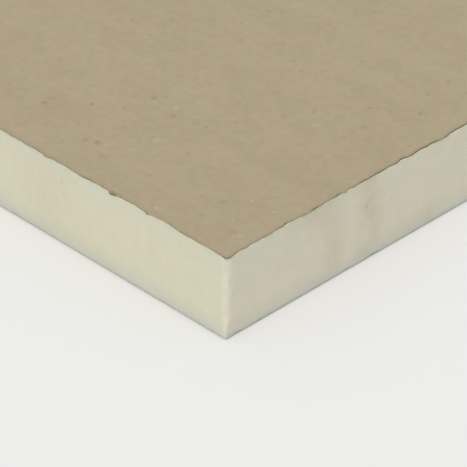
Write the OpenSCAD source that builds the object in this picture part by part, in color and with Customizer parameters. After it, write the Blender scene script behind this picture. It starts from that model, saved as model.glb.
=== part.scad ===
// Polyiso roof insulation board: a rigid foam core between two felt facers.
// Millimetres. The board lies flat, centred on Z, with its underside at Z = 0.

/* [Board] */
// Length of the board, along X, which is the way it runs through the laminator
board_l = 1219.2; // [300:0.1:2500]
// Width of the board, along Y, between its two trimmed sides
board_w = 1219.2; // [300:0.1:2500]
// Thickness of the finished board, with both facers
board_t = 50.8; // [12.7:0.1:120]

/* [Foam core] */
// Radius that handling wears on the four upright corners
corner_r = 2.0; // [0.6:0.1:12]
// Width of the crumbled arris along the top and bottom edges of the foam
arris = 0.25; // [0.1:0.05:2]

/* [Facers] */
// Thickness of one glass-reinforced felt facer
facer_t = 0.8; // [0.3:0.05:2]
// How far the facers' cut edge stands back from the sawn face of the foam
facer_setback = 0.3; // [0.1:0.05:3]

/* [Hidden] */
$fn = 48;

// The least radius left on a corner of the felt, which shears can't cut sharp
felt_corner_min = 0.2;

foam_t = board_t - 2 * facer_t;
foam_z = facer_t;
top_facer_z = foam_z + foam_t;

foam_colour = "#d9d4b8";
felt_colour = "#b0a184";

// The board's plan, taken in by inset on all four sides.
// The corner radius shrinks with the inset, so that the arcs stay concentric.
module board_plan(inset = 0) {
    l = board_l - 2 * inset;
    w = board_w - 2 * inset;
    r = max(corner_r - inset, felt_corner_min);
    square([l - 2 * r, w], center = true);
    square([l, w - 2 * r], center = true);
    for (x = [-1, 1], y = [-1, 1])
        translate([x * (l / 2 - r), y * (w / 2 - r)])
            circle(r = r);
}

// Cross-section of the foam for a given span: a slab with its four arrises taken off.
module foam_section(span) {
    half = span / 2;
    polygon([
        [-half + arris, 0],
        [half - arris, 0],
        [half, arris],
        [half, foam_t - arris],
        [half - arris, foam_t],
        [-half + arris, foam_t],
        [-half, foam_t - arris],
        [-half, arris]
    ]);
}

// A foam section of a given span across X, run along Y for the given length.
module section_run(span, length) {
    rotate([90, 0, 0])
        linear_extrude(height = length, center = true)
            foam_section(span);
}

// Core: the plan cut through the slab, and the arrises off both pairs of sides.
module foam_core() {
    color(foam_colour)
        translate([0, 0, foam_z])
            intersection() {
                linear_extrude(height = foam_t)
                    board_plan();
                section_run(board_l, board_w);
                rotate([0, 0, 90])
                    section_run(board_w, board_l);
            }
}

// One felt sheet, trimmed a little inside the foam.
module facer_sheet() {
    color(felt_colour)
        linear_extrude(height = facer_t)
            board_plan(facer_setback);
}

module top_facer() {
    translate([0, 0, top_facer_z])
        facer_sheet();
}

module bottom_facer() {
    facer_sheet();
}

foam_core();
top_facer();
bottom_facer();
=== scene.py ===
import math
import random

import bpy
import numpy as np
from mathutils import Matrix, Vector, noise
from mathutils.geometry import delaunay_2d_cdt


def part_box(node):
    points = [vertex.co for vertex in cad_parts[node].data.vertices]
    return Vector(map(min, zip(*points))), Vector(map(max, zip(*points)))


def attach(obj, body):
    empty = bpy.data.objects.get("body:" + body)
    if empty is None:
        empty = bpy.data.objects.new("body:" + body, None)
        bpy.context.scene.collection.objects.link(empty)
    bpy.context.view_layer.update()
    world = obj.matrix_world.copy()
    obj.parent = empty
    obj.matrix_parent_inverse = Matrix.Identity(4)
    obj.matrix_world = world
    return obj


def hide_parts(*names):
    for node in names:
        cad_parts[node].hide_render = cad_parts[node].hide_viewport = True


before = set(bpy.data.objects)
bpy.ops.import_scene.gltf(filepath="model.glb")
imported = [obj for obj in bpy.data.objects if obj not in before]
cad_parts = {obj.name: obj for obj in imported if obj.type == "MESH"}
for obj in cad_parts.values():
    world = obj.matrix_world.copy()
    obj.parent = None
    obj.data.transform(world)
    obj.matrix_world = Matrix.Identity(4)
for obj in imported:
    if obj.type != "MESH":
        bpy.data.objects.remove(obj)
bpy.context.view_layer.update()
print("frame loaded")

# Everything is in metres, in the board's own frame: X runs the way the board was made,
# Y across it, and Z up through its thickness. Sizes under a few centimetres are written
# as so many mm, and the lists leave the mm out. The near corner is the one at +X and -Y.
# Places round the board's edge are walked from that corner, minus along the front side
# and plus along the right end.
mm = 0.001
coreLow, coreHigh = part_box("foam_core")
feltLow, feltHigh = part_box("top_facer")
halfX, halfY = coreHigh.x, coreHigh.y
feltSetback = halfX - feltHigh.x
feltThickness = feltHigh.z - feltLow.z


def ease(t):
    # 0 below 0, 1 above 1 and smooth in between, for a number or an array
    t = np.clip(t, 0, 1)
    return t * t * (3 - 2 * t)


def swell(distance, reach):
    # 1 at no distance, falling smoothly to 0 at the reach
    return ease(1 - np.abs(distance) / reach)


def ripple(points, size, salt):
    # smooth random waves of about that size over points in plan or in space, from -1 to 1
    # and the same every run
    deep = points if points.shape[1] == 3 else np.column_stack([points, np.zeros(len(points))])
    return np.array([noise.noise(Vector(spot)) for spot in (deep / size + [salt, -salt, salt]).tolist()])


def direction(azimuth, elevation):
    # out from the board, in degrees round from the front side to the right end and up
    turn, tilt = math.radians(azimuth), math.radians(elevation)
    return Vector((math.sin(turn) * math.cos(tilt), -math.cos(turn) * math.cos(tilt), math.sin(tilt)))


def addObject(name, data):
    made = bpy.data.objects.new(name, data)
    bpy.context.scene.collection.objects.link(made)
    return made


cameraView = {
    "azimuth": 45.35,
    "elevation": 33.96,
    "lens": 254.1,
    "distance": 1.64,
    "aimRight": 3.9 * mm,  # the aim point, from the near corner's top
    "aimUp": 12.14 * mm,
}


def addCamera(view):
    back = direction(view["azimuth"], view["elevation"])
    right = direction(view["azimuth"] + 90, 0)
    nearCorner = Vector((halfX, -halfY, feltHigh.z))
    aim = nearCorner + right * view["aimRight"] + back.cross(right) * view["aimUp"]
    camera = addObject("camera", bpy.data.cameras.new("camera"))
    camera.data.lens = view["lens"]
    camera.data.clip_end = 200
    camera.location = aim + back * view["distance"]
    camera.rotation_euler = (-back).to_track_quat("-Z", "Y").to_euler()
    bpy.context.scene.camera = camera


addCamera(cameraView)
print("camera placed")


def addNode(tree, kind, inputs=None, **settings):
    # an input takes a number, a vector, a colour or another node's output
    node = tree.nodes.new("ShaderNode" + kind)
    for key, value in settings.items():
        setattr(node, key, value)
    for key, value in (inputs or {}).items():
        socket = node.inputs[key]
        if isinstance(value, (int, float)):
            socket.default_value = value
        elif isinstance(value, tuple):
            socket.default_value = (*value, 1)[:len(socket.default_value)]
        else:
            tree.links.new(value, socket)
    return node


def mathNode(tree, operation, first, second=0.0, clamp=False):
    return addNode(tree, "Math", {0: first, 1: second}, operation=operation, use_clamp=clamp).outputs[0]


def times(tree, first, second):
    return mathNode(tree, "MULTIPLY", first, second)


def vectorNode(tree, operation, first, second):
    return addNode(tree, "VectorMath", {0: first, 1: second}, operation=operation).outputs[0]


def lengthNode(tree, vector):
    return addNode(tree, "VectorMath", {0: vector}, operation="LENGTH").outputs["Value"]


def noiseNode(tree, vector, scale, detail, roughness=0.5):
    inputs = {"Vector": vector, "Scale": scale, "Detail": detail, "Roughness": roughness}
    return addNode(tree, "TexNoise", inputs).outputs


def mixColour(tree, factor, first, second, blend="MIX"):
    inputs = {0: factor, 6: first, 7: second}
    return addNode(tree, "Mix", inputs, data_type="RGBA", blend_type=blend).outputs[2]


def ramp(tree, value, low, high, outLow=0.0, outHigh=1.0):
    inputs = {"Value": value, "From Min": low, "From Max": high, "To Min": outLow, "To Max": outHigh}
    return addNode(tree, "MapRange", inputs, interpolation_type="SMOOTHSTEP").outputs[0]


def makeGroup(build, inputs):
    # every group reads a place on the surface besides its inputs, and puts out plain numbers
    group = bpy.data.node_groups.new(build.__name__, "ShaderNodeTree")
    group.interface.new_socket(name="Vector", in_out="INPUT", socket_type="NodeSocketVector")
    for label, value in inputs.items():
        kind = "NodeSocketVector" if isinstance(value, tuple) else "NodeSocketFloat"
        group.interface.new_socket(name=label, in_out="INPUT", socket_type=kind).default_value = value
    made = build(group, group.nodes.new("NodeGroupInput").outputs)
    for label in made:
        group.interface.new_socket(name=label, in_out="OUTPUT", socket_type="NodeSocketFloat")
    result = group.nodes.new("NodeGroupOutput").inputs
    for label, value in made.items():
        group.links.new(value, result[label])


def useGroup(tree, build, place, **inputs):
    group = bpy.data.node_groups[build.__name__]
    return addNode(tree, "Group", {"Vector": place, **inputs}, node_tree=group).outputs


# the effects that the finishes share, each of them a node group
def cloudTone(group, given):
    # soft patches of tone of about one size, stretched by an amount on each axis
    drawn = vectorNode(group, "DIVIDE", given["Vector"], given["Stretch"])
    clouds = noiseNode(group, drawn, mathNode(group, "DIVIDE", 1.0, given["Size"]), given["Detail"], 0.55)
    return {"Tone": ramp(group, clouds["Fac"], given["Low"], given["High"])}


def fineGrain(group, given):
    # fine even grain: a height for the bump and a tone round one half for the colour
    scale = mathNode(group, "DIVIDE", 1.0, given["Size"])
    coarse = noiseNode(group, given["Vector"], scale, 2.0, 0.6)
    cells = addNode(group, "TexVoronoi", {"Vector": given["Vector"], "Scale": times(group, scale, 1.7)})
    height = mathNode(group, "ADD", times(group, coarse["Fac"], 0.7),
                      times(group, cells.outputs["Distance"], 0.3))
    return {"Height": height, "Tone": ramp(group, height, 0.25, 0.75)}


def raggedReach(group, given):
    # a radius that a noise eats into and pulls out, so that no mark is a neat disc
    bend = noiseNode(group, given["Vector"], mathNode(group, "DIVIDE", 0.8, given["Radius"]), 2.0)
    wobble = times(group, mathNode(group, "SUBTRACT", bend["Fac"], 0.5), times(group, given["Ragged"], 4.0))
    return times(group, given["Radius"], mathNode(group, "ADD", 1.0, wobble))


def strewnFlecks(group, given):
    # small marks strewn over a flat surface, which is the vector's X and Y: only a share of
    # the cells holds one, and its radius and strength come from the cell's own numbers
    inputs = {"Vector": given["Vector"], "Scale": mathNode(group, "DIVIDE", 1.0, given["Spacing"])}
    cells = addNode(group, "TexVoronoi", inputs, voronoi_dimensions="2D").outputs
    chance = addNode(group, "SeparateColor", {"Color": cells["Color"]}).outputs
    away = times(group, cells["Distance"], given["Spacing"])
    reach = times(group, raggedReach(group, given), ramp(group, chance["Green"], 0.0, 1.0, 0.45, 1.25))
    inner = mathNode(group, "SUBTRACT", 1.0, given["Soft"])
    spot = ramp(group, mathNode(group, "DIVIDE", away, reach), inner, 1.1, 1.0, 0.0)
    spot = times(group, spot, ramp(group, chance["Blue"], 0.0, 1.0, 0.35, 1.0))
    return {"Mask": times(group, spot, mathNode(group, "LESS_THAN", chance["Red"], given["Share"]))}


def oneMark(group, given):
    # one mark at a chosen place in plan
    offset = vectorNode(group, "SUBTRACT", given["Vector"], given["Centre"])
    away = lengthNode(group, vectorNode(group, "MULTIPLY", offset, (1, 1, 0)))
    share = mathNode(group, "DIVIDE", away, raggedReach(group, given))
    return {"Mask": ramp(group, share, 0.3, 1.2, 1.0, 0.0)}


def shortStrands(group, given):
    # short fibres, mostly one way: a noise drawn out along X after a turn about Z and a bend
    bend = noiseNode(group, given["Vector"], mathNode(group, "DIVIDE", 0.8, given["Length"]), 0.0)
    shift = vectorNode(group, "ADD", bend["Color"], (-0.5, -0.5, -0.5))
    bent = vectorNode(group, "ADD", given["Vector"], vectorNode(group, "MULTIPLY", shift, given["Length"]))
    turn = addNode(group, "VectorRotate", {"Vector": bent, "Angle": given["Turn"]}, rotation_type="Z_AXIS")
    size = addNode(group, "CombineXYZ", {"X": given["Length"], "Y": given["Width"], "Z": given["Width"]})
    fibre = noiseNode(group, vectorNode(group, "DIVIDE", turn.outputs[0], size.outputs[0]), 1.0, 1.0)
    return {"Mask": ramp(group, fibre["Fac"], given["Low"], given["High"])}


def brokenNearness(group, given):
    # a mark kept at the points, such as how near an edge a point is, broken up by a noise: it serves wear
    # and grime, and painted shade and a painted highlight too
    patches = noiseNode(group, given["Vector"], mathNode(group, "DIVIDE", 1.0, given["Size"]), 3.0)
    eaten = mathNode(group, "SUBTRACT", patches["Fac"], 0.5)
    eaten = times(group, eaten, times(group, given["Breakup"], 2.0))
    near = mathNode(group, "ADD", given["Nearness"], times(group, eaten, given["Nearness"]))
    return {"Mask": mathNode(group, "MINIMUM", near, 1.0)}


makeGroup(cloudTone, {"Size": 0.02, "Stretch": (1, 1, 1), "Detail": 2.0, "Low": 0.35, "High": 0.65})
makeGroup(fineGrain, {"Size": 0.0006})
makeGroup(strewnFlecks, {"Spacing": 0.01, "Radius": 0.001, "Share": 0.3, "Ragged": 0.5, "Soft": 0.6})
makeGroup(oneMark, {"Centre": (0, 0, 0), "Radius": 0.001, "Ragged": 0.5})
makeGroup(shortStrands, {"Turn": 0.0, "Length": 0.006, "Width": 0.0003, "Low": 0.6, "High": 0.7})
makeGroup(brokenNearness, {"Nearness": 0.0, "Size": 0.004, "Breakup": 0.6})
print("node groups made")


def newMaterial(name, look):
    material = bpy.data.materials.new(name)
    material.use_nodes = True
    tree = material.node_tree
    shader = tree.nodes["Principled BSDF"]
    shader.inputs["Roughness"].default_value = look["roughness"]
    shader.inputs["Specular IOR Level"].default_value = look["specular"]
    return material, tree, addNode(tree, "TexCoord").outputs["Object"]


def finishMaterial(tree, colour, height, depth):
    inputs = tree.nodes["Principled BSDF"].inputs
    bump = addNode(tree, "Bump", {"Strength": 1.0, "Distance": depth, "Height": height})
    tree.links.new(colour, inputs["Base Color"])
    tree.links.new(bump.outputs[0], inputs["Normal"])


def readAttribute(tree, name):
    # nearEdge and the soil mark are numbers that the meshes below keep at their points; the soil mark holds
    # dirt and painted shade together
    return addNode(tree, "Attribute", attribute_name=name).outputs["Fac"]


def clouds(tree, place, size, **more):
    return useGroup(tree, cloudTone, place, Size=size, **more)["Tone"]


def brokenMark(tree, place, attribute, size, breakup):
    near = readAttribute(tree, attribute)
    return useGroup(tree, brokenNearness, place, Nearness=near, Size=size, Breakup=breakup)["Mask"]


def shaded(tree, colour, tone, depth):
    # a colour made darker and lighter by a tone from 0 to 1, by that share each way
    shade = ramp(tree, tone, 0.0, 1.0, 1 - depth, 1 + depth)
    grey = addNode(tree, "CombineColor", {"Red": shade, "Green": shade, "Blue": shade})
    return mixColour(tree, 1.0, colour, grey.outputs[0], "MULTIPLY")


feltLook = {
    "main": (0.388, 0.322, 0.210),
    "greenish": (0.381, 0.323, 0.208),
    "reddish": (0.393, 0.320, 0.212),
    "darkFleck": (0.220, 0.182, 0.120),
    "paleFleck": (0.570, 0.500, 0.370),
    "fibre": (0.490, 0.418, 0.293),
    "darkFibre": (0.280, 0.232, 0.153),
    # grime, and painted shade in the cut edge's dark runs
    "dirtAndShadeColour": (0.150, 0.122, 0.080),
    "roughness": 0.92,
    "specular": 0.25,
    "bumpDepth": 0.035 * mm,
    # layers of tone: size, how far drawn out the way the felt was rolled, and depth
    "tones": [(45, 14, 0.012), (20, 1.6, 0.017), (5.5, 1, 0.021)],
    "grain": (0.9 * mm, 0.018),  # size and depth of tone
    # fibres: width, the noise level that they show above, strength, and the layers' turns in
    # radians and lengths
    "paleStrands": (0.55 * mm, 0.645, 0.18, [(0.3, 8), (1.2, 6), (2.0, 7), (2.8, 6)]),
    "darkStrands": (0.6 * mm, 0.665, 0.22, [(0.8, 5), (2.4, 4)]),
    "darkFlecks": (15 * mm, 1.5 * mm, 0.32),  # spacing, radius and strength
    "paleFlecks": (17 * mm, 1.3 * mm, 0.16),
    "rubbed": (3 * mm, 0.22),  # along the sheet's edge: size of patches and strength
    "frayed": (2.2 * mm, 0.30),
    "dirtAndShade": (2 * mm, 0.5),
    # marks near the near corner: how far in from the right end and from the front side,
    # radius and strength
    "darkMarks": [
        (83, 0.5, 1.4, 0.65), (80.5, 0.7, 1.3, 0.50), (77.5, 0.9, 1.2, 0.30), (124, 27.5, 2.2, 0.50),
        (130, 24.5, 1.9, 0.32), (113, 20, 1.8, 0.26), (173, 34, 2.0, 0.45), (154, 51, 2.0, 0.38),
        (139, 61, 1.8, 0.22), (135, 79, 2.2, 0.42), (131, 84, 1.4, 0.30), (115, 74, 2.6, 0.28),
        (107, 52, 1.5, 0.30), (37, 34, 2.4, 0.22), (14, 19, 1.6, 0.24), (24, 169, 1.8, 0.40),
        (36, 137, 1.6, 0.32), (65, 130, 1.8, 0.28), (47, 154, 1.9, 0.32), (6, 141, 1.4, 0.26),
        (87, 93, 1.6, 0.22), (36, 129.5, 1.5, 0.24), (73, 115, 1.8, 0.20),
    ],
    "paleMarks": [
        (57, 6.5, 1.4, 0.40), (27, 46, 1.4, 0.24), (12, 46.5, 1.5, 0.30), (9, 19, 2.0, 0.24),
        (22, 27, 1.4, 0.22), (120, 81, 2.0, 0.24), (104, 51, 1.8, 0.24), (141, 19, 1.5, 0.24),
        (119, 29, 1.6, 0.20), (56, 121, 1.8, 0.20), (21, 167, 1.4, 0.26),
    ],
}


def feltBase(tree, place, look):
    # the sheet's own colour with its layers of tone, and the finest layer for the bump
    green = clouds(tree, place, 12 * mm, Low=0.45, High=0.70)
    red = clouds(tree, place, 15 * mm, Stretch=(1.3, 1, 1), Low=0.45, High=0.72)
    colour = mixColour(tree, green, look["main"], look["greenish"])
    colour = mixColour(tree, red, colour, look["reddish"])
    for size, drawn, depth in look["tones"]:
        tone = clouds(tree, place, size * mm, Stretch=(drawn, 1, 1), Detail=3.0)
        colour = shaded(tree, colour, tone, depth)
    return colour, tone


def strandMask(tree, place, width, level, strength, layers):
    mask = 0.0
    for turn, length in layers:
        layer = useGroup(tree, shortStrands, place, Turn=turn, Length=length * mm, Width=width,
                         Low=level, High=level + 0.06)["Mask"]
        mask = mathNode(tree, "MAXIMUM", mask, layer)
    return mask, times(tree, mask, strength)


def fleckMask(tree, place, flecks, marks):
    # strewn flecks, and the marks that have a place of their own
    spacing, radius, strength = flecks
    strewn = useGroup(tree, strewnFlecks, place, Spacing=spacing, Radius=radius, Share=0.4, Soft=0.75)
    mask = times(tree, strewn["Mask"], strength)
    for inward, along, size, depth in marks:
        centre = (halfX - inward * mm, along * mm - halfY, 0)
        mark = useGroup(tree, oneMark, place, Centre=centre, Radius=size * mm, Ragged=0.6)["Mask"]
        mask = mathNode(tree, "MAXIMUM", mask, times(tree, mark, depth))
    return mask


def feltEdge(tree, place, look, colour):
    # along the sheet's edge: rubbed darker, frayed pale in places, and a little grime, with painted shade in
    # the dark runs
    size, strength = look["rubbed"]
    rubbed = brokenMark(tree, place, "nearEdge", size, 0.6)
    colour = mixColour(tree, times(tree, rubbed, strength), colour, look["darkFleck"])
    size, strength = look["frayed"]
    frayed = times(tree, clouds(tree, place, size, Low=0.52, High=0.62), readAttribute(tree, "nearEdge"))
    colour = mixColour(tree, times(tree, frayed, strength), colour, look["paleFleck"])
    # grime, and painted shade in the dark runs
    size, strength = look["dirtAndShade"]
    dirtAndShade = mathNode(tree, "MULTIPLY", brokenMark(tree, place, "soil", size, 1.5), strength, clamp=True)
    return mixColour(tree, dirtAndShade, colour, look["dirtAndShadeColour"])


def makeFelt(look):
    felt, tree, place = newMaterial("feltFacer", look)
    colour, mottle = feltBase(tree, place, look)
    size, depth = look["grain"]
    grain = useGroup(tree, fineGrain, place, Size=size)
    colour = shaded(tree, colour, grain["Tone"], depth)
    fibres, paleFibres = strandMask(tree, place, *look["paleStrands"])
    colour = mixColour(tree, paleFibres, colour, look["fibre"])
    colour = mixColour(tree, strandMask(tree, place, *look["darkStrands"])[1], colour, look["darkFibre"])
    for shade in ("dark", "pale"):
        mask = fleckMask(tree, place, look[shade + "Flecks"], look[shade + "Marks"])
        colour = mixColour(tree, mask, colour, look[shade + "Fleck"])
    height = mathNode(tree, "ADD", grain["Height"], times(tree, fibres, 0.5))
    height = mathNode(tree, "ADD", height, times(tree, mottle, 0.8))
    finishMaterial(tree, feltEdge(tree, place, look, colour), height, look["bumpDepth"])
    return felt


cutLook = {
    "main": (0.400, 0.335, 0.225),
    "dark": (0.320, 0.268, 0.180),
    # grime, and painted shade in the dark runs
    "dirtAndShadeColour": (0.124, 0.102, 0.070),
    "pale": (0.690, 0.661, 0.505),
    "roughness": 0.95,
    "specular": 0.2,
    "bumpDepth": 0.08 * mm,
    "grain": 0.5 * mm,
}


def makeCutEdge(look):
    # the felt's cut edge: torn layers lying flat, in broken darker and paler runs
    cut, tree, place = newMaterial("feltCutEdge", look)
    runs = clouds(tree, place, 4 * mm, Stretch=(1.6, 1.6, 0.3), Detail=3.0, Low=0.42, High=0.60)
    layers = clouds(tree, place, 0.5 * mm, Stretch=(6, 6, 0.4), Low=0.45, High=0.7)
    colour = mixColour(tree, runs, look["main"], look["dark"])
    colour = mixColour(tree, times(tree, layers, 0.5), colour, look["pale"])
    # grime, and painted shade in the dark runs
    colour = mixColour(tree, brokenMark(tree, place, "soil", 2 * mm, 0.7), colour, look["dirtAndShadeColour"])
    grain = useGroup(tree, fineGrain, place, Size=look["grain"])
    finishMaterial(tree, colour, grain["Height"], look["bumpDepth"])
    return cut


foamLook = {
    "cream": (0.698, 0.659, 0.493),
    "pale": (0.704, 0.674, 0.514),
    "endShadeTint": (0.688, 0.643, 0.514),  # painted shade tint: the cross-cut ends are a shade less yellow, the cooler tone of the side the key light reaches least
    "skin": (0.668, 0.664, 0.530),  # whiter foam close under the facers
    "foot": (0.516, 0.528, 0.472),  # painted shade: greyer foam along the lower edge, where little light comes back from the floor
    "dullAndShaded": (0.510, 0.476, 0.320),  # full soiling and full painted shade, and the duller bands on the ends
    "fresh": (0.780, 0.738, 0.570),
    # lighter where worn, and on the near corner's strip a painted highlight as well
    "wornAndHighlight": (0.728, 0.722, 0.584),
    # painted shade in pits and pinholes
    "pitShade": (0.330, 0.300, 0.200),
    "skinDepth": 15 * mm,
    "endSkinDepth": 9 * mm,
    "footShadeLayers": [(5, 0.30), (13, 0.24)],  # height and strength
    "roughness": 0.88,
    "specular": 0.3,
    "bumpDepth": 0.03 * mm,
    "brokenMark": (5 * mm, 0.6),  # size of patches and strength
    "mottle": (7 * mm, 0.011),  # size and depth of tone
    "sawLines": (2.4 * mm, 0.006),
    "grain": (0.5 * mm, 0.007),
    "pores": (11 * mm, 0.55 * mm, 0.30),  # spacing, radius and strength
}


def foamBase(tree, place, spot, look):
    # cream clouds, ends with a painted shade tint, a whiter skin near the facers and painted shade along the
    # foot
    colour = mixColour(tree, clouds(tree, place, 28 * mm), look["cream"], look["pale"])
    fromEnd = mathNode(tree, "SUBTRACT", halfX, mathNode(tree, "ABSOLUTE", spot["X"]))
    onEnd = ramp(tree, fromEnd, 1.5 * mm, 4 * mm, 1.0, 0.0)
    # painted shade tint: the ends take the cooler colour of the less lit side
    colour = mixColour(tree, onEnd, colour, look["endShadeTint"])
    middle = (coreLow.z + coreHigh.z) / 2
    fromMiddle = mathNode(tree, "ABSOLUTE", mathNode(tree, "SUBTRACT", spot["Z"], middle))
    drift = clouds(tree, place, 30 * mm, Low=0.2, High=0.8)
    depth = mathNode(tree, "SUBTRACT", (coreHigh.z - coreLow.z) / 2, fromMiddle)
    depth = mathNode(tree, "ADD", depth, times(tree, drift, 4 * mm))
    reach = ramp(tree, onEnd, 0.0, 1.0, look["skinDepth"], look["endSkinDepth"])
    colour = mixColour(tree, ramp(tree, depth, 1 * mm, reach, 1.0, 0.0), colour, look["skin"])
    height = mathNode(tree, "ADD", spot["Z"], times(tree, drift, -3 * mm))
    # painted shade: darker towards the bottom, where the floor sends little light back
    foot = 0.0
    for top, strength in look["footShadeLayers"]:
        layer = ramp(tree, height, 0.0, top * mm, 1.0, 0.0)
        foot = mathNode(tree, "ADD", foot, times(tree, layer, strength))
    return mixColour(tree, foot, colour, look["foot"])


def foamSoilAndShade(tree, wall, look, colour):
    # the soil mark is above 0 where dirt dulls the foam and where shade is painted on it, above 1 where
    # shade is painted into pits, and below 0 where it is paler
    soil = readAttribute(tree, "soil")
    broken = clouds(tree, wall, 5 * mm, Detail=3.0, Low=0.25, High=0.75)
    uneven = times(tree, soil, ramp(tree, broken, 0.0, 1.0, 0.75, 1.25))
    # dulled by dirt, and darkened by painted shade under the top facer, on its ledge and in pits
    colour = mixColour(tree, mathNode(tree, "MAXIMUM", uneven, 0.0, clamp=True), colour, look["dullAndShaded"])
    colour = mixColour(tree, mathNode(tree, "SUBTRACT", 0.0, uneven, clamp=True), colour, look["fresh"])
    # painted shade in the pits
    return mixColour(tree, mathNode(tree, "SUBTRACT", soil, 1.0, clamp=True), colour, look["pitShade"])


def makeFoam(look):
    foam, tree, place = newMaterial("sawnFoam", look)
    spot = addNode(tree, "SeparateXYZ", {"Vector": place}).outputs
    # the walls laid out flat: across is along the wall, up is the height
    across = mathNode(tree, "ADD", spot["X"], spot["Y"])
    wall = addNode(tree, "CombineXYZ", {"X": across, "Y": spot["Z"]}).outputs[0]
    colour = foamSoilAndShade(tree, wall, look, foamBase(tree, place, spot, look))
    # lighter where the upright corners are worn; on the near corner's strip this is a painted highlight as
    # well
    size, strength = look["brokenMark"]
    wornAndHighlight = brokenMark(tree, place, "nearEdge", size, 0.5)
    colour = mixColour(tree, times(tree, wornAndHighlight, strength), colour, look["wornAndHighlight"])
    # mottle, faint upright lines left by the saw, pinholes darkened with painted shade, and the fine cells
    size, depth = look["mottle"]
    colour = shaded(tree, colour, clouds(tree, wall, size, Low=0.3, High=0.7), depth)
    size, depth = look["sawLines"]
    lines = clouds(tree, wall, size, Stretch=(1, 9, 1), Low=0.35, High=0.75)
    colour = shaded(tree, colour, lines, depth)
    spacing, radius, strength = look["pores"]
    pores = useGroup(tree, strewnFlecks, wall, Spacing=spacing, Radius=radius, Share=0.22, Soft=0.7)["Mask"]
    # painted shade in the pinholes
    colour = mixColour(tree, times(tree, pores, strength), colour, look["pitShade"])
    size, depth = look["grain"]
    grain = useGroup(tree, fineGrain, place, Size=size)
    colour = shaded(tree, colour, grain["Tone"], depth)
    height = mathNode(tree, "ADD", times(tree, grain["Height"], 0.5), times(tree, lines, -0.4))
    height = mathNode(tree, "SUBTRACT", height, times(tree, pores, 3.0))
    finishMaterial(tree, colour, height, look["bumpDepth"])
    return foam


feltMaterial = makeFelt(feltLook)
cutMaterial = makeCutEdge(cutLook)
foamMaterial = makeFoam(foamLook)
print("finishes made")


# the columns of points round the board's edge, which the foam and both facers share
edgeDetail = {
    "cornerRadius": 2.0 * mm,
    "arcPieces": 10,
    "nearStep": 0.55 * mm,  # between columns round the near corner
    "nearReach": 0.180,
    "cornerStep": 1.4 * mm,  # at the other three corners
    "cornerReach": 0.05,
    "middleStep": 4.6 * mm,  # along the rest of the sides
    "easeOut": 0.08,
}
corners = [(1, -1), (1, 1), (-1, 1), (-1, -1)]  # signs of X and Y, anticlockwise from the near one


def stepAt(x, y, detail):
    wide = detail["middleStep"]
    step = wide
    for corner, (signX, signY) in enumerate(corners):
        small = detail["cornerStep"] if corner else detail["nearStep"]
        reach = detail["cornerReach"] if corner else detail["nearReach"]
        away = math.hypot(x - signX * halfX, y - signY * halfY)
        step = min(step, small + (wide - small) * ease((away - reach) / detail["easeOut"]))
    return step


def edgeColumns(detail):
    # For each column: a centre point one corner radius inside the edge, the outward
    # direction, and how far round the board it is from the near corner.
    radius, pieces = detail["cornerRadius"], detail["arcPieces"]
    found = []
    for side, (signX, signY) in enumerate(corners):
        centre = Vector((signX * (halfX - radius), signY * (halfY - radius)))
        for piece in range(pieces + 1):
            angle = math.radians(-90 + 90 * (side + piece / pieces))
            found.append((*centre, math.cos(angle), math.sin(angle)))
        nextX, nextY = corners[(side + 1) % 4]
        along = Vector((nextX * (halfX - radius), nextY * (halfY - radius))) - centre
        places, at = [], 0.0
        while at < along.length:
            spot = centre + along.normalized() * at
            at += stepAt(spot.x, spot.y, detail)
            places.append(at)
        outward = found[-1][2:4]
        found += [(*(centre + along * (at / places[-1])), *outward) for at in places[:-1]]
    found = np.array(found)
    columns = {"centre": found[:, :2], "out": found[:, 2:4]}
    points = columns["centre"] + columns["out"] * radius
    gaps = np.linalg.norm(np.roll(points, -1, axis=0) - points, axis=1)
    run = np.concatenate([[0], np.cumsum(gaps)])
    walk = run[:-1] - run[pieces // 2]
    columns["walk"] = np.where(walk > run[-1] / 2, walk - run[-1], walk)
    columns["run"], columns["round"] = run, run[-1]
    return columns


def placeColumns(columns, inset):
    # the plan position of every column, at an inset from the edge
    reach = edgeDetail["cornerRadius"] - np.broadcast_to(inset, len(columns["walk"]))
    return columns["centre"] + columns["out"] * reach[:, None]


def squared(columns, inset, share):
    # let a corner's curve out by a share of what it falls short of a square corner
    short = 1 / np.abs(columns["out"]).max(axis=1) - 1
    return inset - share * short * (edgeDetail["cornerRadius"] - inset)


def fillInside(loop, inner):
    # triangles over a closed loop of plan points and the loose points inside it
    count = len(loop)
    edges = [(i, (i + 1) % count) for i in range(count)]
    points = [Vector(point) for point in (*loop.tolist(), *inner)]
    made = delaunay_2d_cdt(points, edges, [], 1, 1e-9)
    first = [min(sources) for sources in made[3]]
    return np.array([[first[corner] for corner in face] for face in made[2]])


def hexGrid(reachX, reachY, step):
    rise = step * math.sqrt(3) / 2
    rows, wide = int(reachY / rise), int(reachX / step) + 1
    found = [((i + 0.5 * (j % 2)) * step, j * rise)
             for j in range(-rows, rows + 1) for i in range(-wide, wide + 1)]
    return [point for point in found if abs(point[0]) <= reachX]


def bridge(lower, upper):
    # quads between two closed rows of point numbers, outward when the rows run round
    # anticlockwise and the second is above
    return np.column_stack([lower, np.roll(lower, -1), np.roll(upper, -1), upper])


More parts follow.
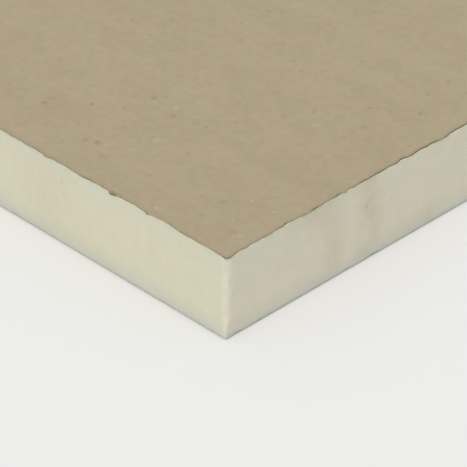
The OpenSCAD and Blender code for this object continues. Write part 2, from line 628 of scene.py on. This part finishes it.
def stripMap(columns, cuts, area, acrossLow, acrossHigh, sideways=False):
    # Map places of one ring of quads, cut into strips side by side in an area of the map,
    # which is its corner and its size. A strip fills 0.93 of its share, so that none touch.
    (cornerAlong, cornerAcross), (sizeAlong, sizeAcross) = area
    run, length = columns["run"], columns["round"] / cuts
    strip = np.floor(run[:-1] / length - 1e-9).clip(0, cuts - 1)
    start, end = run[:-1] / length - strip, run[1:] / length - strip
    along = np.stack([start, end, end, start], axis=1) * sizeAlong + cornerAlong
    across = np.array([acrossLow, acrossLow, acrossHigh, acrossHigh])
    across = (strip[:, None] + across * 0.93) * (sizeAcross / cuts) + cornerAcross
    pair = (across, along) if sideways else (along, across)
    return np.stack(pair, axis=2).reshape(-1, 2)


def planMap(points, faces, area):
    # map places of flat faces: the plan itself, shrunk to a square area of the map
    corner, size = area
    plan = points[faces.reshape(-1), :2] / (2 * np.array([halfX, halfY])) + 0.5
    return plan * size + np.array(corner)


def buildPiece(name, points, parts, materials, marks):
    # parts are (faces, finish number, map places) for each area of the mesh
    mesh = bpy.data.meshes.new(name)
    mesh.from_pydata(points.tolist(), [], [face for part in parts for face in part[0].tolist()])
    for material in materials:
        mesh.materials.append(material)
    finish = np.concatenate([np.full(len(faces), number) for faces, number, _ in parts])
    mesh.polygons.foreach_set("material_index", finish.astype(np.int32))
    mesh.polygons.foreach_set("use_smooth", np.ones(len(finish), bool))
    layer = mesh.uv_layers.new(name="OFBake")
    places = np.concatenate([places for _, _, places in parts])
    layer.uv.foreach_set("vector", places.astype(np.float32).ravel())
    for label, values in marks.items():
        attribute = mesh.attributes.new(label, "FLOAT", "POINT")
        attribute.data.foreach_set("value", values.astype(np.float32))
    mesh.set_sharp_from_angle(angle=math.radians(38))
    return addObject(name, mesh)


foamShape = {
    "rowStep": 1.6 * mm,
    "arris": 0.22 * mm,
    "arrisVaries": 0.16 * mm,
    "capInset": 1.8 * mm,  # where the walls hand over to the hidden flat caps
    "capStep": 30 * mm,
    "capMargin": 12 * mm,
    "sawWave": 0.14 * mm,
    "rubbed": 0.25 * mm,  # what handling takes off the upright corners
    "rubReach": 4.2 * mm,
    "stripReach": 3.4 * mm,  # half width of the near corner's strip, worn and lighter with a painted highlight
    "cornerSpan": 10 * mm,  # how far the near corner's own shape goes each way
    # the near corner's crushed stretches: height, depth, and reach round on to the right end
    "crush": [
        (4, 0.0, 2.5), (9, 0.3, 2.5), (14, 0.9, 5.0), (20, 0.7, 3.4), (26, 0.8, 4.4), (32, 0.9, 5.2),
        (35, 0.4, 2.8), (39, 0.9, 5.0), (45, 0.9, 5.0), (49, 1.1, 6.0),
    ],
    "crushLeft": 2.5 * mm,  # and their reach round on to the front side
    # the near corner's strip, worn and with a painted highlight: height, how far it lies along the walk, and
    # strength
    "cornerPath": [
        (0, -0.8, 0.7), (8, -0.9, 0.5), (14, -0.4, 0.55), (20, -0.5, 1.0), (27, 0.2, 0.7), (32.5, 1.3, 1.6),
        (35.5, -1.0, 1.2), (40, -0.3, 0.5), (44, 1.0, 0.9), (49, 2.6, 1.6),
    ],
    # the near corner is squarer at its foot: height, and how far its curve is let out
    "nearSquare": [(0, 0.95), (5, 0.6), (12, 0.1), (49, 0.0)],
    # walk, height, radius and depth of pits in the walls
    "pits": [
        (-0.8, 32.5, 2.2, 0.5), (102, 32.5, 1.3, 0.5), (-29, 25, 1.6, 0.25), (-122, 38, 1.5, 0.4),
        (-112, 32, 1.2, 0.3), (-136, 20, 1.0, 0.3), (-62, 17, 0.9, 0.3), (48, 12, 1.0, 0.3),
        (144, 24, 1.0, 0.4), (76, 41, 0.9, 0.3), (108, 24.5, 1.1, 0.35),
    ],
    # walk, reach and depth of chips out of the lower and upper arrises
    "lowChips": [
        (-45, 2.5, 0.5), (-57, 1.6, 0.3), (-97, 2.2, 0.4), (31, 2.0, 0.4), (88, 3.0, 0.5), (131, 1.8, 0.4),
    ],
    "highChips": [(-74, 2.6, 0.4), (-112, 1.8, 0.3), (22, 1.8, 0.3), (57, 3.0, 0.4), (118, 2.4, 0.3)],
    "otherChips": 40,
    # duller patches of the walls, and paler ones if below 0: walk and height of the middle, half width, half
    # height and strength; the small strong ones on the pits paint shade into them
    "patches": [
        (62, 49, 32, 12, 0.36), (68, 39, 16, 14, 0.20), (78, 24, 11, 34, 0.26), (78, 10, 8, 9, 0.16),
        (100, 49, 24, 10, 0.18), (104, 36, 10, 20, 0.30), (109, 20, 9, 26, 0.22), (100, 7, 8, 8, 0.20),
        (91, 24, 5.5, 40, -0.14), (138, 27, 19, 34, -0.10), (145, 8, 26, 10, 0.18), (-134, 20, 34, 50, 0.14),
        (-78, 35, 25, 14, -0.14), (-52, 25, 10, 12, 0.06), (-30, 34, 12, 10, -0.08),
        (102, 32.5, 1.9, 2.2, 0.80), (108, 24.5, 1.4, 2.2, 0.40), (108, 46, 1.8, 1.8, 0.30),
        (-29, 25, 1.2, 5, 0.22), (-122, 38, 1.8, 1.8, 0.30), (-112, 32, 1.4, 1.4, 0.22),
        (-2.2, 32.6, 1.6, 1.6, -0.5), (-85, 7, 120, 8, 0.07), (35, 15, 34, 14, -0.15),
        (102, 26, 20, 30, 0.09), (-25, 42, 36, 12, 0.06),
    ],
    "highShade": 0.35,  # painted shade close under the top facer's edge
    "ledgeShade": 0.6,  # painted shade on the narrow ledge in the joint round that facer
    "bandsAnEnd": 30,
    "bandsBeyond": 0.15,  # the strewn bands keep this far from the near corner
    "wallMap": ((0.012, 0.010), (0.955, 0.70)),
    "lowCapMap": ((0.02, 0.725), 0.26),
    "highCapMap": ((0.34, 0.725), 0.26),
}


def arrisWidths(shape, columns, plan, chips, salt, dice):
    width = shape["arris"] + shape["arrisVaries"] * ripple(plan, 9 * mm, salt)
    width += 0.6 * shape["arrisVaries"] * ripple(plan, 2.1 * mm, salt + 3.3)
    for place, reach, depth in chips:
        width += depth * mm * swell(columns["walk"] - place * mm, reach * mm)
    for _ in range(shape["otherChips"]):
        place = (dice.random() - 0.5) * columns["round"]
        reach, depth = dice.uniform(4, 9) * mm, dice.uniform(0.15, 0.6) * mm
        width += depth * swell(columns["walk"] - place, reach)
    return np.clip(width, 0.08 * mm, shape["capInset"] - 0.3 * mm)


def byHeight(levels, height):
    # values at a height, in between those of a list of levels
    places, *columns = zip(*levels)
    return [np.interp(height, np.array(places) * mm, column) for column in columns]


def squareness(shape, walk, height):
    return byHeight(shape["nearSquare"], height)[0] * (np.abs(walk) < shape["cornerSpan"])


def fromCorner(points):
    return (halfX - np.abs(points[:, 0])) + (halfY - np.abs(points[:, 1]))


def cornerNearness(shape, walk, points):
    # how near the worn strip of an upright corner: 0 from a few mm off it; on the near corner the strip's
    # lighter colour is also a painted highlight
    place, strength = byHeight(shape["cornerPath"], points[:, 2] - coreLow.z)
    strip = strength * swell(walk - place * mm, shape["stripReach"])
    others = swell(fromCorner(points), shape["rubReach"])
    return np.where(np.abs(walk) < shape["cornerSpan"], strip, others)


def wallLoss(shape, walk, points):
    # how far the sawn walls stand in from flat: saw waviness, pits, and the rubbed corners
    # with the near one's crushed edge
    loss = shape["sawWave"] * (0.5 + 0.5 * ripple(points, 60 * mm, 1.7))
    loss += 0.25 * shape["sawWave"] * (1 + ripple(points, 8 * mm, 6.1))
    height = points[:, 2] - coreLow.z
    for place, level, radius, depth in shape["pits"]:
        away = np.hypot(walk - place * mm, height - level * mm) / (radius * mm)
        loss += depth * mm * np.clip(1 - away ** 2, 0, 1) ** 2
    rub = shape["rubbed"] * (1 + ripple(points, 7 * mm, 3.9)) * swell(fromCorner(points), shape["rubReach"])
    rub *= 1 - squareness(shape, walk, height)
    depth, reach = byHeight(shape["crush"], height)
    crush = depth * mm * (1 + 0.4 * ripple(points, 5 * mm, 8.2))
    crush *= swell(walk, np.where(walk > 0, reach * mm, shape["crushLeft"]))
    return loss + rub + crush


def endBands(shape, dice):
    # upright bands on the two cross-cut ends, where the foam's streams met as it rose
    found = []
    for signX in (1, -1):
        for _ in range(shape["bandsAnEnd"]):
            place = dice.uniform(-halfY, halfY)
            wide, tall = dice.uniform(9, 34) * mm, dice.uniform(25, 70) * mm
            level, slant = dice.uniform(0, 50) * mm, dice.uniform(-0.15, 0.15)
            found.append((signX, place, wide, level, tall, slant, dice.uniform(-0.16, 0.34)))
    return found


def wallSoilAndShade(shape, walk, points, bands):
    # dirt and painted shade on the walls: patches, bands on the ends, and shade under the top facer
    height = points[:, 2] - coreLow.z
    soil = np.zeros(len(points))
    for place, level, wide, tall, strength in shape["patches"]:
        soil += strength * swell(walk - place * mm, wide * mm) * swell(height - level * mm, tall * mm)
    fromNear = np.hypot(points[:, 0] - halfX, points[:, 1] + halfY)
    elsewhere = np.clip((fromNear - shape["bandsBeyond"]) / 0.05, 0, 1)
    for signX, place, wide, level, tall, slant, strength in bands:
        onEnd = points[:, 0] * signX > halfX - 3 * mm
        aside = points[:, 1] - place - slant * (height - level)
        soil += strength * onEnd * elsewhere * swell(aside, wide) * swell(height - level, tall)
    # painted shade close under the top facer's edge
    fromTop = coreHigh.z - points[:, 2]
    soil += shape["highShade"] * swell(fromTop, 2.4 * mm) * (1 + 0.5 * ripple(points, 5 * mm, 2.6))
    return soil


def coreRows(shape, low, high):
    # inset and height of each row of points: the lower cap's edge, the lower arris, the wall,
    # the upper arris and the upper cap's edge
    quarter = [math.radians(angle) for angle in (0, 30, 60, 90)]
    flat, capEdge = np.zeros(len(low)), np.full(len(low), shape["capInset"])
    rows = [(capEdge, flat + coreLow.z)]
    for angle in reversed(quarter):
        rows.append((low * (1 - math.cos(angle)), coreLow.z + low * (1 - math.sin(angle))))
    foot, head = coreLow.z + low, coreHigh.z - high
    steps = round((coreHigh.z - coreLow.z) / shape["rowStep"])
    for step in range(1, steps):
        rows.append((flat, foot + (head - foot) * step / steps))
    for angle in quarter:
        rows.append((high * (1 - math.cos(angle)), coreHigh.z - high * (1 - math.sin(angle))))
    rows.append((capEdge, flat + coreHigh.z))
    return rows


def wallParts(shape, columns, rings):
    # one ring of quads for each pair of rows, all in eight strips of the bake's map
    count = len(columns["walk"])
    numbers = np.arange(count * len(rings)).reshape(len(rings), count)
    steps = [max(1.0, abs(above[0, 2] - below[0, 2]) / mm) for below, above in zip(rings, rings[1:])]
    level = np.concatenate([[0], np.cumsum(steps)]) / sum(steps)
    return [(bridge(numbers[i], numbers[i + 1]), 0,
             stripMap(columns, 8, shape["wallMap"], level[i], level[i + 1])) for i in range(len(steps))]


def makeFoamCore(shape, columns):
    dice = random.Random(17)
    walk, plan = columns["walk"], placeColumns(columns, 0.0)
    low = arrisWidths(shape, columns, plan, shape["lowChips"], 2.4, dice)
    high = arrisWidths(shape, columns, plan, shape["highChips"], 5.2, dice)
    bands = endBands(shape, dice)
    rows = coreRows(shape, low, high)
    rings, nears, soilAndShadeRows = [], [], []
    for row, (inset, height) in enumerate(rows):
        onWall = np.column_stack([plan, height])
        if 0 < row < len(rows) - 1:
            inset = np.minimum(inset + wallLoss(shape, walk, onWall), shape["capInset"])
            inset = squared(columns, inset, squareness(shape, walk, height - coreLow.z))
        rings.append(np.column_stack([placeColumns(columns, inset), height]))
        nears.append(cornerNearness(shape, walk, onWall))
        soilAndShadeRows.append(wallSoilAndShade(shape, walk, onWall, bands))
    # painted shade on the ledge in the joint under the top facer
    soilAndShadeRows[-1] = soilAndShadeRows[-2] = np.full(len(walk), shape["ledgeShade"])
    parts = wallParts(shape, columns, rings)
    # the two flat caps, which the facers hide
    count, last = len(walk), len(rings) - 1
    grid = hexGrid(halfX - shape["capMargin"], halfY - shape["capMargin"], shape["capStep"])
    lowCap, highCap = [np.column_stack([grid, np.full(len(grid), z)]) for z in (coreLow.z, coreHigh.z)]
    points = np.concatenate([*rings, lowCap, highCap])
    triangles = fillInside(rings[0][:, :2], grid)
    for ring, base, turn, area in ((0, count * len(rings), -1, shape["lowCapMap"]),
                                   (last, count * len(rings) + len(grid), 1, shape["highCapMap"])):
        cap = np.where(triangles < count, triangles + ring * count, triangles - count + base)[:, ::turn]
        parts.append((cap, 0, planMap(points, cap, area)))
    hidden = np.zeros(2 * len(grid))
    marks = {"nearEdge": np.concatenate([*nears, hidden]), "soil": np.concatenate([*soilAndShadeRows, hidden])}
    piece = buildPiece("foamCore", points, parts, [foamMaterial], marks)
    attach(piece, "root")
    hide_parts("foam_core")


feltShape = {
    "gridStep": 11 * mm,
    "gridMargin": 12 * mm,
    # inset of each ring inside the cut edge, and how many columns apart its points are
    "rings": [(0.15, 1), (0.9, 1), (2.4, 2), (5.0, 4)],
    # size and depth of the waves in the cut edge
    "wander": [(18, 0.20), (6, 0.24), (3.2, 0.22), (1.5, 0.18)],
    "strewnBeyond": 0.19,  # the strewn nicks keep this far from the near corner
    "furthestOut": 1.2 * mm,
    "squareness": 0.85,  # the felt keeps squarer corners than the foam under it
    "lift": 0.25 * mm,  # how far the edge curls off the foam here and there
    "liftReach": 5 * mm,
    "relief": 0.12 * mm,
    "bevel": 0.12 * mm,
    "tear": 0.10 * mm,  # raggedness of the cut edge through its thickness
    "rubReach": 1.6 * mm,
    "dirtAndShade": 0.25,  # a little grime all round, besides the runs of painted shade
    "dirtAndShadeReach": 1.1 * mm,
    "faceMap": ((0.006, 0.006), 0.922),
    "gluedMap": ((0.936, 0.006), 0.058),
    "edgeMap": ((0.100, 0.940), (0.880, 0.055)),
}

topEdge = {
    "trim": 0.0,  # how much further in than the CAD facer the whole edge is
    "frontTrim": 0.12 * mm,  # and the front side on top of that
    # walk, reach and depth of nicks in the cut edge, or of tags that stand out if below 0
    "nicks": [
        (1.6, 2.6, -0.7), (3, 4, -0.5), (6, 9, -0.3), (-3, 5, -0.2), (-12, 6, 0.3), (-17, 4, -0.2),
        (-44, 11, 1.1), (-56.3, 2.8, -0.9), (-67, 11, 0.8), (-83.4, 3.2, -1.5), (-80.5, 4, -0.8),
        (-92, 6, 0.2), (-130, 50, -0.45), (-119, 6, 0.6), (-127.5, 3.5, 0.5), (-132.5, 4, -0.6),
        (-140, 4, 0.2), (-148, 4, -0.4), (14, 3.5, -0.4), (30, 5, -0.3), (44.5, 4.5, 0.6), (60, 12, -0.6),
        (69, 5, -0.3), (74, 6, -0.1), (86, 3, -0.5), (89.5, 2.4, 0.7), (119, 3.5, 0.4), (129, 4, 1.0),
        (135.5, 4, -0.3), (159, 8, -1.1),
    ],
    # walk, reach and strength of dark runs of painted shade in the cut edge
    "shadeRuns": [
        (0, 3, 0.5), (-57, 2.6, 0.5), (-82, 4, 1.1), (-102, 8, 0.5), (-136, 5, 0.2), (28, 5, 0.3),
        (41, 8, 0.6), (63, 4, 0.8), (80, 5, 0.8), (91, 4, 0.3), (101, 6, 1.0), (113, 11, 0.9), (126, 9, 0.9),
        (138, 9, 0.7), (149, 11, 1.1), (171, 14, 0.9),
    ],
    "otherNicks": 90,  # strewn round the rest of the edge
}

bottomEdge = {
    "trim": 0.65 * mm,  # it sits in the foam's shadow
    "frontTrim": 0.0,
    "nicks": [(41, 3, -0.5), (-63, 4, 0.4)],
    "shadeRuns": [],
    "otherNicks": 60,
}


def cutInset(shape, cut, columns, plan, salt):
    # how far in the sheet is cut at each column
    inset = np.full(len(plan), feltSetback + cut["trim"])
    inset += cut["frontTrim"] * (plan[:, 1] < -halfY + 0.5 * mm)
    for size, depth in shape["wander"]:
        inset += depth * mm * ripple(plan, size * mm, salt + size)
    for place, reach, depth in cut["nicks"]:
        inset += depth * mm * swell(columns["walk"] - place * mm, reach * mm)
    dice = random.Random(int(salt))
    for _ in range(cut["otherNicks"]):
        place = dice.uniform(-0.5, 0.5) * columns["round"]
        reach, depth = dice.uniform(5, 16) * mm, dice.uniform(-0.9, 0.7) * mm
        inset += depth * (abs(place) > shape["strewnBeyond"]) * swell(columns["walk"] - place, reach)
    inset = np.clip(inset, -shape["furthestOut"], edgeDetail["cornerRadius"] - 0.3 * mm)
    return squared(columns, inset, shape["squareness"])


def insideEdge(points, inset):
    # which points keep clear of the sides that meet at their corner
    room = np.column_stack([halfX - np.abs(points[:, 0]), halfY - np.abs(points[:, 1])])
    return room.min(axis=1) >= inset - 0.02 * mm


def feltPlan(shape, columns, inset):
    # A facer's plan points, from its cut edge inwards, with how deep in from the edge each is
    # and the column that it goes with.
    count, radius = len(inset), edgeDetail["cornerRadius"]
    points, depths, sources = placeColumns(columns, inset).tolist(), [0.0] * count, list(range(count))
    onStraight = np.abs(columns["out"]).max(axis=1) > 0.999
    for ring, apart in shape["rings"]:
        deep = inset + ring * mm
        ringPoints = placeColumns(columns, deep)
        keep = insideEdge(ringPoints, deep) & (onStraight | (deep < radius - 0.3 * mm))
        keep &= np.arange(count) % apart == 0
        points += ringPoints[keep].tolist()
        depths += [ring * mm] * int(keep.sum())
        sources += np.flatnonzero(keep).tolist()
    margin = shape["gridMargin"]
    grid = hexGrid(halfX - margin, halfY - margin, shape["gridStep"])
    points += [list(point) for point in grid]
    depths += [margin] * len(grid)
    sources += [0] * len(grid)
    return np.array(points), np.array(depths), np.array(sources)


def feltHeights(shape, plan, depth, salt, upward):
    # heights of the outer and the glued face above the foam: dips all over, a bevel where the
    # knife came in, and on the upper sheet an edge that curls up here and there
    dips = shape["relief"] * (0.5 + 0.5 * ripple(plan, 55 * mm, salt))
    curl = np.zeros(len(plan))
    if upward:
        close = depth < shape["liftReach"]
        curl[close] = shape["lift"] * np.clip(ripple(plan[close], 16 * mm, salt + 9.1) * 2, 0, 1)
        curl *= (1 - depth / shape["liftReach"]).clip(0, 1) ** 2
    return feltThickness - dips - shape["bevel"] * (depth == 0) + curl, curl


def makeFacer(name, node, shape, cut, columns, salt, upward):
    outline = placeColumns(columns, 0.0)
    inset = cutInset(shape, cut, columns, outline, salt)
    plan, depth, sources = feltPlan(shape, columns, inset)
    outer, glued = feltHeights(shape, plan, depth, salt, upward)
    count, total = len(inset), len(plan)
    triangles = fillInside(plan[:count], plan[count:].tolist())
    # between the faces, two rows of the torn edge that stand in and out
    torn = []
    for share, turn in ((0.66, 1.3), (0.33, 4.7)):
        ragged = placeColumns(columns, inset + shape["tear"] * ripple(outline, 1.3 * mm, salt + turn))
        torn.append(np.column_stack([ragged, outer[:count] * share + glued[:count] * (1 - share)]))
    points = np.concatenate([np.column_stack([plan, outer]), np.column_stack([plan, glued]), *torn])
    top = np.arange(count)
    bottom, upper, lower = top + total, top + 2 * total, top + 2 * total + count
    strips = [(bridge(under, over), 1,
               stripMap(columns, 4, shape["edgeMap"], step / 3, (step + 1) / 3, sideways=True))
              for step, (under, over) in enumerate([(bottom, lower), (lower, upper), (upper, top)])]
    under = triangles[:, ::-1] + total
    parts = [(triangles, 0, planMap(points, triangles, shape["faceMap"])),
             (under, 0, planMap(points, under, shape["gluedMap"])), *strips]
    if upward:
        points[:, 2] += feltLow.z
    else:
        points[:, 2] = coreLow.z - points[:, 2]
        parts = [(faces[:, ::-1], number, np.flip(places.reshape(len(faces), -1, 2), axis=1).reshape(-1, 2))
                 for faces, number, places in parts]
    near = np.concatenate([swell(depth, shape["rubReach"])] * 2 + [np.ones(2 * count)])
    # grime all round and runs of painted shade along the cut edge, spread a little on to the faces
    dirtAndShade = shape["dirtAndShade"] * (1 + ripple(outline, 22 * mm, salt + 2.9))
    for place, reach, strength in cut["shadeRuns"]:
        dirtAndShade += strength * swell(columns["walk"] - place * mm, reach * mm)
    spread = dirtAndShade[sources] * np.clip(1 - depth / shape["dirtAndShadeReach"], 0, 1)
    marks = {"nearEdge": near, "soil": np.concatenate([spread, spread, dirtAndShade, dirtAndShade])}
    piece = buildPiece(name, points, parts, [feltMaterial, cutMaterial], marks)
    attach(piece, "root")
    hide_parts(node)


edge = edgeColumns(edgeDetail)
print("edge columns:", len(edge["walk"]))
makeFoamCore(foamShape, edge)
print("foam core made")
makeFacer("topFacer", "top_facer", feltShape, topEdge, edge, 12.3, True)
makeFacer("bottomFacer", "bottom_facer", feltShape, bottomEdge, edge, 31.7, False)
print("facers made")


studio = {
    "roughness": 0.9,
    "specular": 0.1,
    "floorTone": (0.80, 0.80, 0.79),
    "floorBounce": (0.50, 0.50, 0.50),  # what the floor sends back up on to the board
    "floorReach": 60.0,
    "holeInset": 2.2 * mm,
    "fadeStart": 4.0,
    "fadeEnd": 22.0,
    "backdrop": (0.865, 0.865, 0.855),
    "sky": (0.70, 0.70, 0.70),
    "keyStrength": 1.62,
    "keySpread": 40,
    "keyElevation": 45,
    "keyAzimuth": 32,
}


def seenDirectly(tree):
    # 1 for what the camera sees, also in a gloss
    path = addNode(tree, "LightPath").outputs
    return mathNode(tree, "MAXIMUM", path["Is Camera Ray"], path["Is Glossy Ray"])


def addFloor(look):
    # a wide sheet with a hole under the board and nothing to see from below, so that the
    # underside can be looked at too
    reach, inset = look["floorReach"], look["holeInset"]
    points = []
    for x, y in ((reach, reach), (halfX - inset, halfY - inset)):
        points += [(-x, -y, 0), (x, -y, 0), (x, y, 0), (-x, y, 0)]
    mesh = bpy.data.meshes.new("floor")
    mesh.from_pydata(points, [], [(i, (i + 1) % 4, 4 + (i + 1) % 4, 4 + i) for i in range(4)])
    addObject("floor", mesh)
    material, tree, place = newMaterial("floorPaper", look)
    shader = tree.nodes["Principled BSDF"]
    tone = mixColour(tree, seenDirectly(tree), look["floorBounce"], look["floorTone"])
    tree.links.new(tone, shader.inputs["Base Color"])
    gone = ramp(tree, lengthNode(tree, place), look["fadeStart"], look["fadeEnd"])
    fromBelow = addNode(tree, "NewGeometry").outputs["Backfacing"]
    clear = addNode(tree, "BsdfTransparent").outputs[0]
    blend = addNode(tree, "MixShader",
                    {0: mathNode(tree, "MAXIMUM", gone, fromBelow), 1: shader.outputs[0], 2: clear})
    tree.links.new(blend.outputs[0], tree.nodes["Material Output"].inputs["Surface"])
    mesh.materials.append(material)


def addLights(look):
    lamp = bpy.data.lights.new("softKey", "SUN")
    lamp.energy, lamp.angle = look["keyStrength"], math.radians(look["keySpread"])
    source = direction(look["keyAzimuth"], look["keyElevation"])
    addObject("softKey", lamp).rotation_euler = (-source).to_track_quat("-Z", "Y").to_euler()
    world = bpy.data.worlds.new("studio")
    bpy.context.scene.world = world
    world.use_nodes = True
    tree = world.node_tree
    sky = tree.nodes["Background"]
    sky.inputs["Color"].default_value = (*look["sky"], 1)
    backdrop = addNode(tree, "Background", {"Color": look["backdrop"], "Strength": 1.0})
    blend = addNode(tree, "MixShader",
                    {0: seenDirectly(tree), 1: sky.outputs[0], 2: backdrop.outputs[0]})
    tree.links.new(blend.outputs[0], tree.nodes["World Output"].inputs["Surface"])


addFloor(studio)
addLights(studio)
bpy.context.scene.view_settings.view_transform = "Standard"
print("floor and lights placed")
